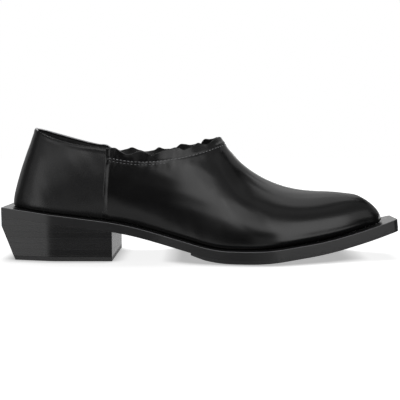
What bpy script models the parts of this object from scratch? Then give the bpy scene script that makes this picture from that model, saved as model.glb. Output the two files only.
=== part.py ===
"""Slip-on leather shoe for the right foot: gathered collar, pointed square-tipped sole and block heel.

Frame: +X towards the toe, -Y the outer (lateral) side, +Z up. The origin is under the middle of the shoe,
on the floor. Tables hold shares of the driving dimensions in per cent, or millimetres where a column says so.
"""

import math
from typing import NamedTuple

import bmesh
import bpy
import numpy as np

MM = 0.001

# Driving dimensions, in millimetres
LENGTH = 292.0          # back edge of the sole to its toe tip
BALL_WIDTH = 91.6       # sole across the ball of the foot
INSTEP_HEIGHT = 89.5    # floor to the front of the collar
HEEL_SEAT_HEIGHT = 38.2  # floor to the top of the sole at its back edge
BALL_HEIGHT = 9.3       # floor to the top of the sole under the ball
TOE_SPRING = 19.3       # how far the sole's top climbs from the ball to the toe tip
OUTSOLE = 6.5           # thickness of the leather sole
HALF_SOLE = 2.5         # thickness of the rubber under the forefoot
HEEL_LIFT = 3.0         # thickness of the rubber under the heel
INSOLE = 2.0            # thickness of the sock inside
WALL = 1.8              # thickness of the upper with its lining
GAP = 0.3               # clearance between pieces that rest on each other

# Smaller sizes, in millimetres
HEEL_LIP = 24.6         # floor to the foot of the upright lip at the back of the heel
HEEL_UNDERCUT = 10.0    # how far the heel's back slopes in between the lip and the floor
QUARTER_STEP = 0.8      # how far the vamp stands proud of the quarter at the side seam
SEAM_LAP = 0.4          # width over which that step is made
FRILL = 6.0             # height of the gathered edge above its stitch line
FOLD_BLEND = 2.0        # distance over which neighbouring folds run into each other
INSOLE_EASE = 0.6       # room between the insole's edge and the wall
PARED_EDGE = 1.7        # thickness of the half sole at its back edge
PARED_LENGTH = 10.0     # distance over which the half sole reaches its full thickness

# Positions along the shoe, in per cent of the sole's top length from its back edge
BREAST = 28.0           # front face of the heel
HALF_SOLE_BACK = 47.5   # back edge of the rubber half sole

# Counts
SOLE_STATIONS = 56
WALL_ROWS = 12
ROW_CROWDING = 1.5      # above one, rows of points crowd towards the collar
THROAT_CROWDING = 1.3   # above one, ribs crowd towards the throat
FOLD_FALL = 1.5         # above one, a fold dies away faster below the collar


class Corner(NamedTuple):
    """A corner of the sole's outline: per cent along, of half the ball width, and of easing along."""

    along: float
    lateral: float
    medial: float
    ease: float


class Level(NamedTuple):
    """A corner of the sole's side profile: per cent along, millimetres high, per cent of easing along."""

    along: float
    height: float
    ease: float


class Rib(NamedTuple):
    """One section of the upper's wall, from its foot on the sole to its crown.

    In front of the throat the crown lies on the ridge, where both sides meet. Behind it the wall is drawn
    taller than the shoe, and the collar cuts it.
    ribs: sections to make from here to the next row. foot_along, crown_along: per cent along the sole.
    foot_*, crown_*: per cent of half the ball width, outwards.
    facing: plan direction, 180 back, 90 side, 0 toe.
    belly, rise: how far the lower wall leads out and up, in millimetres.
    crown_height: per cent of the instep height.
    spread, drop: how far the top of the wall leads out and down from the crown, in millimetres.
    """

    name: str
    ribs: int
    foot_along: float
    foot_lateral: float
    foot_medial: float
    facing: float
    belly: float
    rise: float
    crown_along: float
    crown_lateral: float
    crown_medial: float
    crown_height: float
    spread: float
    drop: float


class Collar(NamedTuple):
    """The collar seen from the side: per cent along, per cent of the instep height on each side."""

    along: float
    lateral: float
    medial: float


class Fold(NamedTuple):
    """A crest or trough of the gathered collar: share of the way to the throat, millimetres out and up."""

    share: float
    out: float
    lift: float


OUTLINE = [
    #      along  lateral  medial  ease
    Corner(0.0, 48.5, 48.5, 0.0),
    Corner(12.8, 66.0, 66.0, 4.0),
    Corner(29.5, 66.0, 66.0, 4.0),
    Corner(37.0, 65.0, 56.0, 3.5),
    Corner(60.0, 100.0, 100.0, 5.0),
    Corner(68.0, 100.0, 100.0, 3.0),
    Corner(100.0, 26.5, 26.5, 0.0),
]

PROFILE = [
    #     along  height  ease
    Level(0.0, HEEL_SEAT_HEIGHT, 0.0),
    Level(29.8, 27.2, 5.0),
    Level(53.3, BALL_HEIGHT, 4.0),
    Level(64.9, BALL_HEIGHT, 4.0),
    Level(80.7, 14.1, 5.0),
    Level(91.8, 21.4, 4.0),
    Level(100.0, BALL_HEIGHT + TOE_SPRING, 0.0),
]

RIBS = [
    #   name           n  foot: along lat   med  facing belly rise crown: along lat   med height spread drop
    Rib("heel_back",    3,  1.1,  0.0,  0.0, 180.0, 0.0, 13.8,  7.4,  0.0,  0.0, 109.0,  6.5, 18.0),
    Rib("heel_turn",    3,  3.6, 32.0, 32.0, 140.0, 1.6, 14.5,  9.0, 26.5, 26.5, 107.5,  6.4, 18.0),
    Rib("counter",      4,  9.4, 47.5, 47.5, 105.0, 3.6, 17.0, 13.8, 43.0, 43.0, 102.5,  5.2, 18.0),
    Rib("quarter",      3, 17.6, 50.0, 49.5,  92.0, 4.5, 18.0, 20.4, 50.0, 49.5,  98.0,  4.2, 19.0),
    Rib("seam",         9, 25.9, 49.0, 47.0,  90.0, 5.0, 19.0, 27.0, 52.0, 51.5,  99.0,  4.0, 20.0),
    Rib("waist",        9, 34.1, 49.0, 43.0,  90.0, 5.5, 20.0, 34.3, 48.5, 47.5, 107.0,  4.8, 22.0),
    Rib("shank",        8, 42.4, 56.0, 48.5,  90.0, 6.0, 23.0, 41.7, 33.0, 33.0, 119.0,  9.0, 19.0),
    Rib("instep",       6, 49.3, 67.0, 60.0,  90.0, 5.5, 26.0, 47.9,  9.0, 11.0, 125.0, 15.0,  8.0),
    Rib("throat_side",  7, 52.8, 73.0, 67.5,  90.0, 5.0, 29.0, 52.2, -0.5,  0.5, 110.3, 17.5,  1.0),
    Rib("throat",       4, 55.2, 77.0, 72.5,  90.0, 4.5, 31.0, 55.1, -1.5,  1.5, 100.0, 18.5,  0.0),
    Rib("instep_front", 4, 59.0, 81.5, 78.0,  90.0, 4.5, 27.0, 58.8, -2.0,  2.0,  83.8, 20.0,  0.0),
    Rib("ball",         4, 64.5, 84.0, 82.0,  90.0, 4.5, 21.0, 64.5, -2.5,  2.5,  67.9, 22.0,  0.0),
    Rib("vamp",         4, 71.4, 78.0, 78.0,  90.0, 4.2, 16.0, 71.0, -2.0,  2.0,  58.8, 21.0,  0.0),
    Rib("toe_box",      4, 79.7, 60.5, 62.0,  86.0, 3.6, 13.0, 78.3, -1.0,  1.0,  54.5, 17.0,  0.0),
    Rib("toe_side",     3, 87.2, 42.0, 43.0,  76.0, 2.8, 11.0, 84.5,  0.0,  0.0,  53.5, 12.5,  0.2),
    Rib("toe_turn",     3, 92.8, 26.5, 27.0,  64.0, 2.0,  9.5, 88.4,  0.0,  0.0,  52.1,  9.5,  0.7),
    Rib("toe_corner",   2, 95.9, 14.0, 15.0,  36.0, 1.6,  8.5, 90.0,  0.0,  0.0,  51.1,  9.0,  1.8),
    Rib("toe_tip",      0, 96.8,  0.0,  0.0,   0.0, 1.5,  8.0, 90.4,  0.0,  0.0,  50.6,  9.0,  2.6),
]

COLLAR = [
    #      along lateral medial
    Collar(6.8, 107.7, 107.7),
    Collar(13.0, 101.0, 101.5),
    Collar(20.0, 94.6, 95.0),
    Collar(27.0, 90.2, 90.6),
    Collar(34.0, 86.8, 88.2),
    Collar(41.5, 88.2, 89.4),
    Collar(48.0, 92.0, 92.8),
    Collar(52.0, 95.8, 96.2),
    Collar(55.1, 100.0, 100.0),
]

LATERAL_FOLDS = [
    #    share  out   lift
    Fold(0.00, 0.0, 0.0),
    Fold(0.05, -0.4, 0.8),
    Fold(0.17, 2.0, -2.0),
    Fold(0.29, -1.2, 1.2),
    Fold(0.36, 1.8, -1.6),
    Fold(0.53, -1.2, 1.8),
    Fold(0.61, 2.2, -1.8),
    Fold(0.71, -1.0, 1.0),
    Fold(0.82, 1.6, -1.8),
    Fold(1.00, 0.0, 0.0),
]

MEDIAL_FOLDS = [
    #    share  out   lift
    Fold(0.00, 0.0, 0.0),
    Fold(0.06, 1.2, -1.2),
    Fold(0.17, -1.2, 1.2),
    Fold(0.27, 2.0, -1.4),
    Fold(0.37, -1.2, 1.2),
    Fold(0.46, 2.0, -0.8),
    Fold(0.58, -1.2, 2.0),
    Fold(0.68, 2.0, -0.8),
    Fold(0.80, -1.0, 1.6),
    Fold(0.91, 0.8, -0.6),
    Fold(1.00, 0.0, 0.0),
]

ROW = {rib.name: index for index, rib in enumerate(RIBS)}


# The sole's outline and profile
def toe_lean(depth):
    """How far forward a point this deep below the sole's top stands at the toe tip, which is cut square."""
    slope = (PROFILE[-1].height - PROFILE[-2].height) / (PROFILE[-1].along - PROFILE[-2].along) * 100 / LENGTH
    return depth * math.sin(math.atan(slope))


SOLE_DEPTH = OUTSOLE + GAP + HALF_SOLE
SOLE_LENGTH = LENGTH - toe_lean(SOLE_DEPTH)


def along(per_cent):
    """Millimetres in X of a position along the sole's top."""
    return np.asarray(per_cent, float) / 100 * SOLE_LENGTH - LENGTH / 2


def across(per_cent):
    """Millimetres outwards from the centre line."""
    return np.asarray(per_cent, float) / 100 * BALL_WIDTH / 2


def eased(x, places, values, eases):
    """Straight runs between the corners, each inner corner eased into a parabola over its easing length."""
    x = np.asarray(x, float)
    slopes = np.diff(values) / np.diff(places)
    result = values[0] + slopes[0] * (x - places[0])
    for place, ease, turn in zip(places[1:-1], eases[1:-1], np.diff(slopes)):
        past = x - place
        soft = (past + ease) ** 2 / (4 * ease)
        result = result + turn * np.where(past < -ease, 0, np.where(past > ease, past, soft))
    return result


def outline(x, side):
    """Distance of the sole's edge from the centre line at x, on the lateral or medial side."""
    places = along([c.along for c in OUTLINE])
    widths = across([getattr(c, side) for c in OUTLINE])
    return eased(x, places, widths, [c.ease / 100 * SOLE_LENGTH for c in OUTLINE])


def sole_top(x):
    """Height of the sole's top face at x."""
    places = along([level.along for level in PROFILE])
    heights = [level.height for level in PROFILE]
    return eased(x, places, heights, [level.ease / 100 * SOLE_LENGTH for level in PROFILE])


def below_sole_top(x, depth):
    """X and Z of points this deep below the sole's top: square to it at the toe, straight down elsewhere."""
    step = 0.1
    slope = np.maximum((sole_top(x + step) - sole_top(x - step)) / (2 * step), 0)
    angle = np.arctan(slope)
    return x + depth * np.sin(angle), sole_top(x) - depth * np.cos(angle)


# Curves through the rows of a table
def spline(knots, values, at, ring):
    """Cubic through values at knots, smooth to its second derivative; a ring ends on its own first value."""
    step = np.diff(knots)
    count = len(knots)
    matrix = np.zeros((count, count))
    right = np.zeros(values.shape)
    rate = np.diff(values, axis=0) / step[:, None]
    for i in range(1, count - 1):
        matrix[i, i - 1: i + 2] = step[i - 1], 2 * (step[i - 1] + step[i]), step[i]
        right[i] = 6 * (rate[i] - rate[i - 1])
    if ring:
        matrix[0, [0, 1, -2]] = 2 * (step[-1] + step[0]), step[0], step[-1]
        right[0] = 6 * (rate[0] - rate[-1])
        matrix[-1, [0, -1]] = 1, -1
    else:
        matrix[0, 0] = matrix[-1, -1] = 1
    bend = np.linalg.solve(matrix, right)
    i = np.clip(np.searchsorted(knots, at, "right") - 1, 0, count - 2)
    h, a, b = step[i][:, None], (knots[i + 1] - at)[:, None], (at - knots[i])[:, None]
    curve = (bend[i] * a**3 + bend[i + 1] * b**3) / (6 * h)
    line = (values[i] / h - bend[i] * h / 6) * a + (values[i + 1] / h - bend[i + 1] * h / 6) * b
    return curve + line


def through(rows, spacing_columns, places, ring):
    """Values of the table's columns at fractional rows, on a spline spaced by the chords of some columns."""
    if ring:
        rows = np.vstack([rows, rows[:1]])
    chords = np.linalg.norm(np.diff(rows[:, spacing_columns], axis=0), axis=1)
    knots = np.concatenate([[0], np.cumsum(chords)])
    return spline(knots, rows, np.interp(places, np.arange(len(rows)), knots), ring)


def folded(share, folds):
    """Outward and upward shift of the gathered edge, rolling smoothly from fold to fold."""
    shares = np.array([fold.share for fold in folds])
    i = np.clip(np.searchsorted(shares, share, "right") - 1, 0, len(folds) - 2)
    part = np.clip((share - shares[i]) / (shares[i + 1] - shares[i]), 0, 1)
    roll = (1 - np.cos(math.pi * part)) / 2
    shifts = np.array([(fold.out, fold.lift) for fold in folds])
    return shifts[i] + (shifts[i + 1] - shifts[i]) * roll[:, None]


# The upper's wall
def rib_rows(side, sign):
    """One side's table rows as numbers: foot x and y, facing x and y, four leads; then crown x, y and z."""
    feet, crowns = [], []
    for rib in RIBS:
        facing = math.radians(rib.facing)
        lead = math.cos(facing), sign * math.sin(facing), rib.belly, rib.rise, rib.spread, rib.drop
        feet.append([along(rib.foot_along), sign * across(getattr(rib, "foot_" + side)), *lead])
        crown_y = sign * across(getattr(rib, "crown_" + side))
        crowns.append([along(rib.crown_along), crown_y, rib.crown_height / 100 * INSTEP_HEIGHT])
    return np.array(feet), np.array(crowns)


def rib_places():
    """Fractional row places of one side's ribs, closer near the throat, with one extra behind the seam."""
    seam = ROW["seam"]
    lap = SEAM_LAP / float(along(RIBS[seam].foot_along) - along(RIBS[seam - 1].foot_along))
    places = [seam - lap, ROW["toe_tip"]]
    for row, rib in enumerate(RIBS[:-1]):
        for k in range(rib.ribs):
            part = k / rib.ribs
            places.append(row + (1 - (1 - part) ** THROAT_CROWDING if rib.name == "throat_side" else part))
    return np.sort(places)


def walls():
    """Bezier corners of every rib of both sides: foot, low lead, top lead, crown, each as rows of x, y, z."""
    places = rib_places()
    tip, borrowed = ROW["toe_tip"], 3
    sides = [rib_rows("lateral", -1), rib_rows("medial", 1)]
    ring = np.vstack([sides[0][0], sides[1][0][-2:0:-1]])
    found = []
    for (_, own), (_, other), ring_places in zip(sides, sides[::-1], (places, 2 * tip - places)):
        values = through(ring, [0, 1], ring_places, ring=True)
        crown = through(np.vstack([other[borrowed:0:-1], own]), [0, 1, 2], places + borrowed, ring=False)
        facing = values[:, 2:4] / np.linalg.norm(values[:, 2:4], axis=1)[:, None]
        out = np.column_stack([facing, np.zeros(len(places))])
        found.append([values, crown, out])
    on_ridge = places >= ROW["throat"]
    found[0][1][on_ridge] = found[1][1][on_ridge] = (found[0][1][on_ridge] + found[1][1][on_ridge]) / 2
    up = np.array([0.0, 0.0, 1.0])
    for values, crown, out in found:
        belly, rise, spread, drop = (values[:, [column]] for column in range(4, 8))
        behind_seam = (places < ROW["seam"])[:, None]
        set_back = out * QUARTER_STEP * behind_seam
        foot = np.column_stack([values[:, :2], sole_top(values[:, 0]) + GAP]) - set_back
        crown = crown - set_back
        yield foot, foot + out * belly + up * rise, crown + out * spread - up * drop, crown


def bezier(corners, t):
    foot, low, top, crown = corners
    t = t[:, None]
    return (1 - t) ** 3 * foot + 3 * (1 - t) ** 2 * t * low + 3 * (1 - t) * t**2 * top + t**3 * crown


def collar_cut(corners, side):
    """How far up each rib the collar cuts it. Ribs in front of the throat run on to the ridge."""
    places = rib_places()
    places_along = along([row.along for row in COLLAR])
    levels = np.array([getattr(row, side) for row in COLLAR])[:, None] / 100 * INSTEP_HEIGHT
    cut = np.ones(len(places))
    steps = np.linspace(0, 1, 400)
    for rib in np.where(places < ROW["throat"])[0]:
        curve = bezier([corner[[rib]] for corner in corners], steps)
        above = curve[:, 2] - spline(places_along, levels, curve[:, 0], ring=False)[:, 0]
        over = np.argmax((above >= 0) & (steps > 0.4))
        cut[rib] = np.interp(0, above[over - 1: over + 1], steps[over - 1: over + 1])
    return cut


def shares(edge):
    """Share of the way along a curve of each of its points."""
    steps = np.linalg.norm(np.diff(edge, axis=0), axis=1)
    return np.concatenate([[0], np.cumsum(steps)]) / steps.sum()


def gather(points, edge, shift):
    """Rolls the wall near the collar out and up into the folds of the frill."""
    tangent = np.gradient(edge[:, :2], axis=0)
    outwards = np.column_stack([tangent[:, 1], -tangent[:, 0]]) / np.linalg.norm(tangent, axis=1)[:, None]
    push = np.column_stack([outwards * shift[:, [0]], shift[:, 1]])
    depth = np.linalg.norm(points[..., None, :] - edge, axis=-1)
    nearest = depth.min(axis=-1)
    weight = np.exp((nearest[..., None] ** 2 - depth**2) / FOLD_BLEND**2)
    weight = weight / weight.sum(axis=-1, keepdims=True)
    reach = np.clip(1 - nearest / FRILL, 0, 1) ** FOLD_FALL
    return points + (weight @ push) * reach[..., None]


def upper_grid():
    """Points of the upper's outer face: a ring of ribs, each from its foot up to the collar or the ridge."""
    places = rib_places()
    rows = 1 - (1 - np.linspace(0, 1, WALL_ROWS + 1)) ** ROW_CROWDING
    in_front = places >= ROW["seam"]
    gathered = in_front & (places <= ROW["throat"])
    grids, edges, shifts = [], [], []
    for corners, side, folds in zip(walls(), ("lateral", "medial"), (LATERAL_FOLDS, MEDIAL_FOLDS)):
        cut = collar_cut(corners, side)
        grids.append(np.array([bezier(corners, row - (1 - cut) * row**2) for row in rows]).transpose(1, 0, 2))
        edges.append(bezier(corners, cut)[gathered])
        shifts.append(folded(shares(edges[-1]), folds))
    edge = np.concatenate([edges[0], edges[1][-2::-1]])
    shift = np.concatenate([shifts[0], shifts[1][-2::-1]])
    for grid in grids:
        grid[in_front] = gather(grid[in_front], edge, shift)
    return np.concatenate([grids[0], grids[1][-2:0:-1]])


# Solids
def new_object(name, mesh_data, collection, material):
    """Links a named object made from a bmesh."""
    mesh = bpy.data.meshes.new(name)
    mesh_data.to_mesh(mesh)
    mesh_data.free()
    mesh.materials.append(material)
    solid = bpy.data.objects.new(name, mesh)
    collection.objects.link(solid)
    return solid


def make_upper(collection, material):
    """The open outer face, closed over the ridge from throat to toe, given its wall inwards by Solidify."""
    grid = upper_grid() * MM
    mesh = bmesh.new()
    points = [[mesh.verts.new(point) for point in rib] for rib in grid]
    for rib, following in zip(points, points[1:] + points[:1]):
        for row in range(len(rib) - 1):
            mesh.faces.new((rib[row], following[row], following[row + 1], rib[row + 1]))
    bmesh.ops.remove_doubles(mesh, verts=mesh.verts[:], dist=1e-6)
    upper = new_object("upper", mesh, collection, material)
    upper.data.shade_smooth()
    shell = upper.modifiers.new("wall", "SOLIDIFY")
    shell.thickness = WALL * MM
    shell.offset = -1
    shell.use_even_offset = True
    shell.use_quality_normals = True
    return upper


def make_plate(name, stations, collection, material):
    """A closed plate lofted through stations: top x and z, bottom x and z, lateral y and medial y."""
    mesh = bmesh.new()
    frames = []
    for top_x, top_z, bottom_x, bottom_z, lateral, medial in np.array(stations) * MM:
        corners = (
            (top_x, -lateral, top_z),
            (top_x, medial, top_z),
            (bottom_x, medial, bottom_z),
            (bottom_x, -lateral, bottom_z),
        )
        frames.append([mesh.verts.new(corner) for corner in corners])
    for frame, following in zip(frames, frames[1:]):
        for side in range(4):
            turn = (side + 1) % 4
            mesh.faces.new((frame[side], following[side], following[turn], frame[turn]))
    mesh.faces.new(frames[0])
    mesh.faces.new(frames[-1][::-1])
    bmesh.ops.recalc_face_normals(mesh, faces=mesh.faces[:])
    return new_object(name, mesh, collection, material)


def sole_layer(x, top_depth, bottom_depth):
    """Stations of a layer of the sole between two depths below its top face."""
    top_x, top_z = below_sole_top(x, top_depth)
    bottom_x, bottom_z = below_sole_top(x, bottom_depth)
    return np.column_stack([top_x, top_z, bottom_x, bottom_z, outline(x, "lateral"), outline(x, "medial")])


def make_outsole(collection, material):
    x = along(np.linspace(0, 100, SOLE_STATIONS))
    return make_plate("outsole", sole_layer(x, 0, OUTSOLE), collection, material)


def make_half_sole(collection, material):
    """A rubber layer under the forefoot, pared thin towards its back edge."""
    x = along(np.linspace(HALF_SOLE_BACK, 100, SOLE_STATIONS // 2))
    pared = (HALF_SOLE - PARED_EDGE) * np.clip(1 - (x - x[0]) / PARED_LENGTH, 0, 1)
    return make_plate("half_sole", sole_layer(x, OUTSOLE + GAP, SOLE_DEPTH - pared), collection, material)


def make_insole(collection, material):
    """A sock that follows the sole's top and stays clear of the wall's inner face."""
    inset = WALL + QUARTER_STEP + INSOLE_EASE
    edges = []
    for side, sign in (("lateral", -1), ("medial", 1)):
        feet = through(rib_rows(side, sign)[0], [0, 1], rib_places(), ring=False)
        facing = feet[:, 2:4] / np.linalg.norm(feet[:, 2:4], axis=1)[:, None]
        edges.append(feet[:, :2] - inset * facing)
    x = (edges[0][:, 0] + edges[1][:, 0]) / 2
    blunt = 0.5
    bottom = sole_top(x) + GAP
    widths = np.maximum(-edges[0][:, 1], blunt), np.maximum(edges[1][:, 1], blunt)
    stations = np.column_stack([x, bottom + INSOLE, x, bottom, *widths])
    return make_plate("insole", stations, collection, material)


def heel_back(z):
    """X of the heel's back face at height z: upright above the lip's foot, sloping in below it."""
    return along(0) + HEEL_UNDERCUT * max(0.0, 1 - z / HEEL_LIP)


def make_heel_block(collection, material):
    low = HEEL_LIFT + GAP
    stations = []
    for x in np.concatenate([[along(0)], np.linspace(heel_back(low), along(BREAST), SOLE_STATIONS // 3)]):
        top = sole_top(x) - OUTSOLE - GAP
        bottom = HEEL_LIP if x <= along(0) else low
        stations.append((x, top, x, bottom, outline(x, "lateral"), outline(x, "medial")))
    return make_plate("heel_block", stations, collection, material)


def make_heel_lift(collection, material):
    stations = []
    for part in np.linspace(0, 1, SOLE_STATIONS // 3):
        top_x = heel_back(HEEL_LIFT) + part * (along(BREAST) - heel_back(HEEL_LIFT))
        floor_x = heel_back(0) + part * (along(BREAST) - heel_back(0))
        stations.append((top_x, HEEL_LIFT, floor_x, 0, outline(top_x, "lateral"), outline(top_x, "medial")))
    return make_plate("heel_lift", stations, collection, material)


def make_material(name, colour, roughness):
    material = bpy.data.materials.new(name)
    material.use_nodes = True
    shader = material.node_tree.nodes["Principled BSDF"]
    shader.inputs["Base Color"].default_value = (*colour, 1.0)
    shader.inputs["Roughness"].default_value = roughness
    shader.inputs["Metallic"].default_value = 0.0
    return material


def main():
    for old in list(bpy.data.objects):
        bpy.data.objects.remove(old)
    shoe = bpy.data.collections.new("slip_on_shoe")
    bpy.context.scene.collection.children.link(shoe)
    make_upper(shoe, make_material("polished_black_leather", (0.012, 0.012, 0.013), 0.32))
    make_insole(shoe, make_material("black_sock_leather", (0.02, 0.019, 0.018), 0.55))
    make_outsole(shoe, make_material("blackened_sole_edge", (0.03, 0.03, 0.031), 0.45))
    make_half_sole(shoe, make_material("black_sole_rubber", (0.022, 0.022, 0.022), 0.7))
    make_heel_block(shoe, make_material("stacked_black_heel", (0.026, 0.026, 0.027), 0.42))
    make_heel_lift(shoe, make_material("black_heel_rubber", (0.022, 0.022, 0.022), 0.7))


main()
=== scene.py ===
# %% [markdown]
# # A black slip-on shoe with a gathered collar
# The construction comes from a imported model: six solids in metres, toe towards +X, outer side towards -Y,
# floor at z = 0. This lesson dresses them. It draws the leather again with fine sections, sews it, finishes
# the sole and the heel, and sets a small studio around the shoe. The model is loaded first, so that its box
# can be compared with the box of the finished pieces at the end.

# %% Load the frame
import math

import bpy
import numpy as np
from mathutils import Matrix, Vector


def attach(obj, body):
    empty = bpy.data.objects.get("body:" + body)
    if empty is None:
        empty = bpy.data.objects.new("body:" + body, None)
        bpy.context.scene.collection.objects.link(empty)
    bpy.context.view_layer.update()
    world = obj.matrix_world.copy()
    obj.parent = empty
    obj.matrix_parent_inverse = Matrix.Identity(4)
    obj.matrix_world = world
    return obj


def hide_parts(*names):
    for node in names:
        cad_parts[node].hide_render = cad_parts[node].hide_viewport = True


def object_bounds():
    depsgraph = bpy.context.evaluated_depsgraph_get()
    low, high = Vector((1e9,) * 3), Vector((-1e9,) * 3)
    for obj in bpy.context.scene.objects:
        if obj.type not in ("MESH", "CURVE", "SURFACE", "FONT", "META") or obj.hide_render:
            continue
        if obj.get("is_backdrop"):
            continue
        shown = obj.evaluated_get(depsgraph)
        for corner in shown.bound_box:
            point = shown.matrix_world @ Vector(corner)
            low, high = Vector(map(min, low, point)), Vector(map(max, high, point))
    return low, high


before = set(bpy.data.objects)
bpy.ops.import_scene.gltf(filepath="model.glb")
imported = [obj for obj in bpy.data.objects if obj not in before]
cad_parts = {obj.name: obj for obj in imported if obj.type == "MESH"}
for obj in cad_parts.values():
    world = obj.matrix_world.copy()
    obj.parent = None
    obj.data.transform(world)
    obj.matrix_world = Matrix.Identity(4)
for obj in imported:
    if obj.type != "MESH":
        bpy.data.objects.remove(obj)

MM = 0.001
BODY = "root"
cad_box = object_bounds()
print("solids:", ", ".join(sorted(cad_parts)))

# %% [markdown]
# ## Camera
# The picture is taken from the outer side, a little above the collar, with the toe to the right. The place
# and the tilt were found by matching the sole's corners, the toe and the collar. The lens is a short
# telephoto, and the picture is square.

# %% Camera
CAMERA_PLACE = (0.00147, -0.5279, 0.09357)
LOOK_DOWN = 5.640       # degrees below the horizon
TURN_LEFT = 0.315       # degrees off square
LENS = 63.1             # millimetres on a 36 mm sensor


def new_object(name, data):
    """An object for a camera, a light or a mesh, linked to the scene."""
    made = bpy.data.objects.new(name, data)
    bpy.context.scene.collection.objects.link(made)
    return made


camera_data = bpy.data.cameras.new("photo_camera")
camera_data.lens = LENS
camera_data.sensor_width = 36.0
camera_data.clip_start = 0.01
camera = new_object("photo_camera", camera_data)
camera.location = CAMERA_PLACE
camera.rotation_euler = (math.radians(90 - LOOK_DOWN), 0.0, math.radians(TURN_LEFT))
bpy.context.scene.camera = camera
bpy.context.scene.view_settings.view_transform = "Standard"
print("camera", LENS, "mm, at", CAMERA_PLACE)

# %% [markdown]
# ## Node trees as sums
# Materials, the world and the stitch maker are all node trees. Adding each node by hand makes long code, so
# one small class holds an output socket. Its operators add Math nodes, and its node method adds any other
# node: settings first, because some of them change which sockets exist, then a value or a link for each
# socket.


# %% One class for every node tree
class Sock:
    """An output socket of a node tree that takes part in sums."""

    def __init__(self, tree, socket=None):
        self.tree = tree
        self.socket = socket

    def node(self, kind, settings=None, values=None, output=0):
        """Adds a node and returns one of its outputs; values may be numbers, tuples or other sockets."""
        made = self.tree.nodes.new(kind)
        for name, value in (settings or {}).items():
            setattr(made, name, value)
        for name, value in (values or {}).items():
            give(made.inputs[name], value)
        return Sock(self.tree, made.outputs[output] if made.outputs else None)

    def math(self, operation, *terms):
        return self.node("ShaderNodeMath", {"operation": operation}, dict(enumerate(terms)))

    def __add__(self, other):
        return self.math("ADD", self, other)

    def __sub__(self, other):
        return self.math("SUBTRACT", self, other)

    def __rsub__(self, other):
        return self.math("SUBTRACT", other, self)

    def __mul__(self, other):
        return self.math("MULTIPLY", self, other)

    def __truediv__(self, other):
        return self.math("DIVIDE", self, other)


def give(socket, value):
    """Links an input socket to another socket, or sets it to a plain value."""
    if isinstance(value, Sock):
        value.tree.links.new(value.socket, socket)
    else:
        socket.default_value = value


def fill(shader, **values):
    """Gives values to a shader's sockets, named in small letters."""
    for name, value in values.items():
        give(shader.inputs[name.replace("_", " ").title()], value)


def new_material(name):
    """A material with a Principled shader, and the start of its sums."""
    material = bpy.data.materials.new(name)
    material.use_nodes = True
    return material, material.node_tree.nodes["Principled BSDF"], Sock(material.node_tree)


print("operators:", "+ - * /")

# %% [markdown]
# ## Studio
# A shoe in black leather is drawn by what it mirrors. The floor is a plain white sheet that glows, as a lit
# table does. Close to the shoe its glow is darkened into a painted shadow, where an Ambient Occlusion node
# finds it less open. The leather does not mirror the floor, and the room is dark, so that the lights alone
# draw the shoe. The eye still sees a white background, because camera rays get their own shade of the world.

# %% Floor and world
FLOOR_SIZE = 3.6
FLOOR_DROP = 0.0001     # the floor lies this far below the shoe
FLOOR_SHADE = 0.82
FLOOR_GLOW = 0.88
CONTACT = 0.013         # how near to the shoe the painted shadow on the floor reaches, in metres
CONTACT_DARKEST = 0.45  # how open the floor is where it is darkest
CONTACT_CLEAR = 0.95    # how open it is where it glows in full
CONTACT_SHADE = 0.5     # share of the glow that the painted shadow leaves beside the shoe
ROOM_SHADE = 0.04


def new_mesh(name, points, edges=(), faces=()):
    """An object with a mesh of points in metres."""
    mesh = bpy.data.meshes.new(name)
    mesh.from_pydata(np.asarray(points).tolist(), edges, faces)
    return new_object(name, mesh)


corners = np.array([(-1, -1, 0), (1, -1, 0), (1, 1, 0), (-1, 1, 0)]) * FLOOR_SIZE / 2
floor = new_mesh("floor", corners - (0.0, 0.0, FLOOR_DROP), faces=[(0, 1, 2, 3)])
floor_white, floor_shader, floor_tree = new_material("floor_white")
# painted shadow: the floor's glow is darkened where the Ambient Occlusion node finds it less open
openness = floor_tree.node("ShaderNodeAmbientOcclusion", {"samples": 16}, {"Distance": CONTACT}, output=1)
painted_shadow = {"From Min": CONTACT_DARKEST, "From Max": CONTACT_CLEAR, "To Min": CONTACT_SHADE}
glow = floor_tree.node("ShaderNodeMapRange", None, {"Value": openness, **painted_shadow})
fill(floor_shader, base_color=(FLOOR_SHADE, FLOOR_SHADE, FLOOR_SHADE, 1.0), roughness=0.9)
fill(floor_shader, emission_color=glow, emission_strength=FLOOR_GLOW)
floor.data.materials.append(floor_white)
floor.visible_glossy = floor.visible_shadow = False
floor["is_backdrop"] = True

world = bpy.data.worlds.new("studio_room")
world.use_nodes = True
bpy.context.scene.world = world
seen = Sock(world.node_tree).node("ShaderNodeLightPath")
fill(world.node_tree.nodes["Background"], color=seen * (1.0 - ROOM_SHADE) + ROOM_SHADE)
print("floor", FLOOR_SIZE, "m, room shade", ROOM_SHADE)

# %% [markdown]
# ## Lights
# Soft boxes and cards stand all around the shoe. Those in front draw the band along the vamp and the light
# on the toe and the heel, and those behind draw the bright edges of the toe and the sole. What matters is
# how large each one looks in the leather, so the table gives places and sizes in degrees, seen from the
# shoe. Light linking keeps them off the floor. One more sheet lights the floor alone and gives the shoe its
# soft shadow.

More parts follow.
